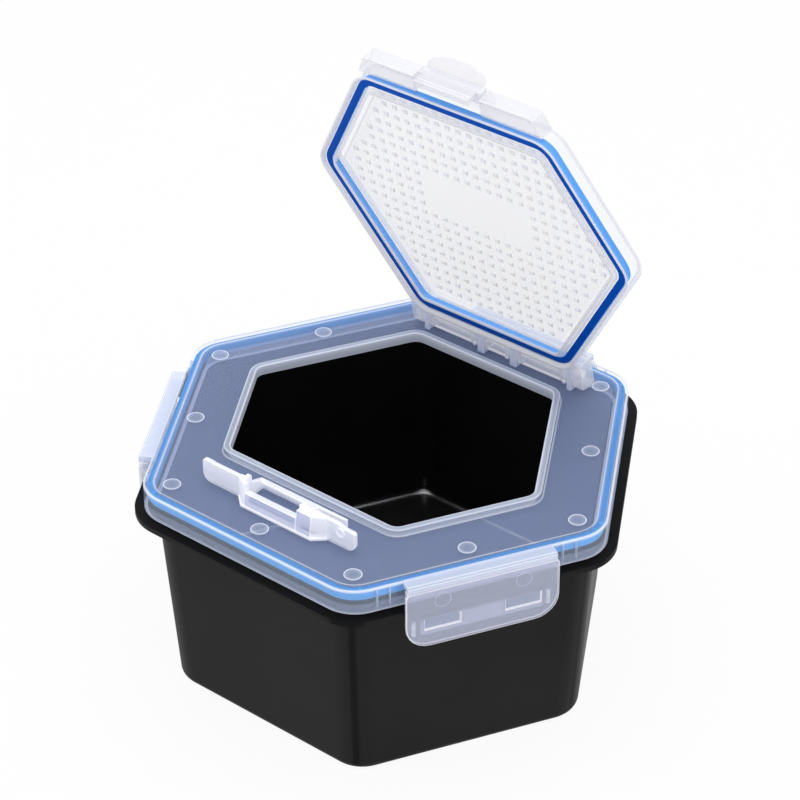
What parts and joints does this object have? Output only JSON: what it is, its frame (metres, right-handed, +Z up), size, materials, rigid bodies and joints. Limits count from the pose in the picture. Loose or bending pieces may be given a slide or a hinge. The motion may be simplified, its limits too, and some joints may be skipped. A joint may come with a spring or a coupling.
{
  "type": "fishing bait box",
  "caption": "Six-sided bait box: black tub, clear latched lid with blue seals, and a hinged hatch with its own snap latch, standing open.",
  "frame": {"origin": "middle of the tub's underside", "axes": "+Z up, +X through one corner of the hexagon, +Y towards the hatch's hinge, -Y towards the keeper of the hatch's latch"},
  "size_m": [0.1722, 0.1547, 0.198],
  "materials": {
    "tub": "satin",
    "clear_plastic": "satin",
    "milky_plastic": "satin",
    "seal": "satin",
    "pin": "satin"
  },
  "bodies": {
    "tub": {"tub": "tub"},
    "lid": {"main_lid": "clear_plastic", "lid_gasket": "seal", "latch_keeper": "milky_plastic", "hatch_hinge_pin": "pin"},
    "left_latch": {"left_latch": "milky_plastic"},
    "right_latch": {"right_latch": "milky_plastic"},
    "rear_latch": {"rear_latch": "milky_plastic"},
    "hatch": {"hatch": "milky_plastic", "hatch_gasket": "seal"},
    "hatch_latch": {"hatch_latch": "milky_plastic"}
  },
  "joints": [
    {"name": "lid_lift", "type": "slide", "parent": "tub", "child": "lid", "axis": [0, 0, 1], "range_m": [0, 0.03]},
    {"name": "left_latch_swing", "type": "hinge", "parent": "lid", "child": "left_latch", "pos_m": [-0.06755, -0.039, 0.0769], "axis": [-0.5, 0.866, 0], "range_deg": [-5, 110]},
    {"name": "right_latch_swing", "type": "hinge", "parent": "lid", "child": "right_latch", "pos_m": [0.06755, -0.039, 0.0769], "axis": [-0.5, -0.866, 0], "range_deg": [-5, 110]},
    {"name": "rear_latch_swing", "type": "hinge", "parent": "lid", "child": "rear_latch", "pos_m": [0, 0.078, 0.0769], "axis": [1, 0, 0], "range_deg": [-5, 110]},
    {"name": "hatch_swing", "type": "hinge", "parent": "lid", "child": "hatch", "pos_m": [0, 0.0586, 0.085], "axis": [1, 0, 0], "range_deg": [-35, 76.4]},
    {"name": "hatch_latch_swing", "type": "hinge", "parent": "hatch", "child": "hatch_latch", "pos_m": [-0.002, 0.03427, 0.18982], "axis": [-1, 0, 0], "range_deg": [-9.5, 60]}
  ]
}
